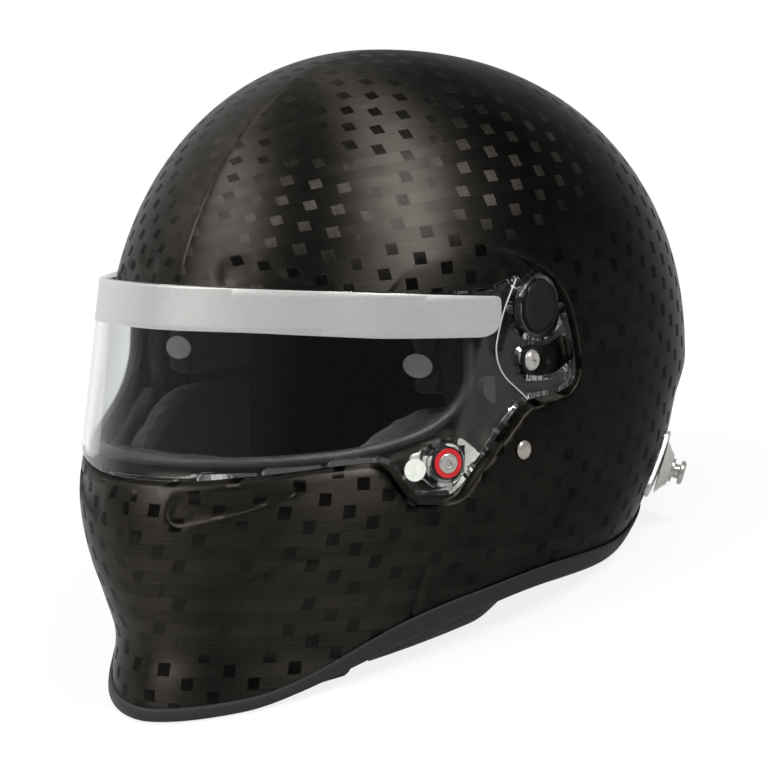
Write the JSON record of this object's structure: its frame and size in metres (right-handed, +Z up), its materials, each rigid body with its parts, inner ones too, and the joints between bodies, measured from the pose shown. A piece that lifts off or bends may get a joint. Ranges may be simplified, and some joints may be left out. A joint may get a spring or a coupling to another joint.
{
  "type": "auto racing helmet",
  "caption": "Full-face car racing helmet: carbon shell, clear lifting visor with sun strip and push lock, padded interior, chin strap with D-rings, and side posts for a head restraint.",
  "frame": {"origin": "on the surface the rim stands on, in the middle plane, under the middle of the helmet's length", "axes": "+Z up, -Y towards the front of the helmet, +X towards the wearer's left"},
  "size_m": [0.2532, 0.3826, 0.254],
  "materials": {
    "carbon_shell": "matte clear coat over woven carbon",
    "rubber_trim": "satin",
    "clear_visor": "clear polished",
    "silver_film": "satin metallic film",
    "black_plastic": "satin",
    "satin_steel": "satin",
    "red_plastic": "gloss",
    "pale_label": "satin",
    "black_foam": "matte",
    "knit_fabric": "brushed knit",
    "strap_webbing": "woven webbing"
  },
  "bodies": {
    "root": {"outer_shell": "carbon_shell", "base_trim": "rubber_trim", "eyeport_seal": "rubber_trim", "pivot_hub_left": "black_plastic", "pivot_hub_right": "black_plastic", "stop_washer_left": "black_plastic", "stop_washer_right": "black_plastic", "stop_screw_left": "satin_steel", "stop_screw_right": "satin_steel", "rubber_stop_left": "rubber_trim", "rubber_stop_right": "rubber_trim", "lock_plate": "satin_steel", "lock_catch": "rubber_trim", "foam_liner": "black_foam", "chin_foam": "black_foam", "crown_pad": "knit_fabric", "brow_pad": "knit_fabric", "temple_pad_left": "knit_fabric", "temple_pad_right": "knit_fabric", "cheek_pad_left": "knit_fabric", "cheek_pad_right": "knit_fabric", "patch_left": "pale_label", "patch_right": "pale_label", "neck_roll": "knit_fabric", "strap_left": "strap_webbing", "strap_right": "strap_webbing", "strap_rivets": "satin_steel", "strap_end": "strap_webbing", "restraint_bracket_left": "satin_steel", "restraint_bracket_right": "satin_steel", "restraint_post_left": "satin_steel", "restraint_post_right": "satin_steel"},
    "visor": {"visor": "clear_visor", "sun_strip": "silver_film", "pivot_collar_left": "clear_visor", "pivot_collar_right": "clear_visor", "lock_guide": "clear_visor", "lock_sticker": "pale_label"},
    "lock_button": {"lock_button": "black_plastic", "lock_face": "red_plastic", "lock_screw": "satin_steel"},
    "d_ring_inner": {"d_ring_inner": "satin_steel"},
    "d_ring_outer": {"d_ring_outer": "satin_steel"}
  },
  "joints": [
    {"name": "visor_hinge", "type": "hinge", "parent": "root", "child": "visor", "pos_m": [0, -0.01249, 0.14594], "axis": [-1, 0, 0], "range_deg": [0, 43]},
    {"name": "button_push", "type": "slide", "parent": "visor", "child": "lock_button", "axis": [-0.9025, 0.4169, -0.1078], "range_m": [0, 0.0016], "stiffness_N_per_m": 600, "springref_m": -0.002},
    {"name": "inner_ring_swing", "type": "hinge", "parent": "root", "child": "d_ring_inner", "pos_m": [0.04, -0.05951, 0.02806], "axis": [0, 0.9681, -0.2504], "range_deg": [0, 60]},
    {"name": "outer_ring_swing", "type": "hinge", "parent": "root", "child": "d_ring_outer", "pos_m": [0.0456, -0.05951, 0.02806], "axis": [0, 0.9681, -0.2504], "range_deg": [-60, 0]}
  ]
}
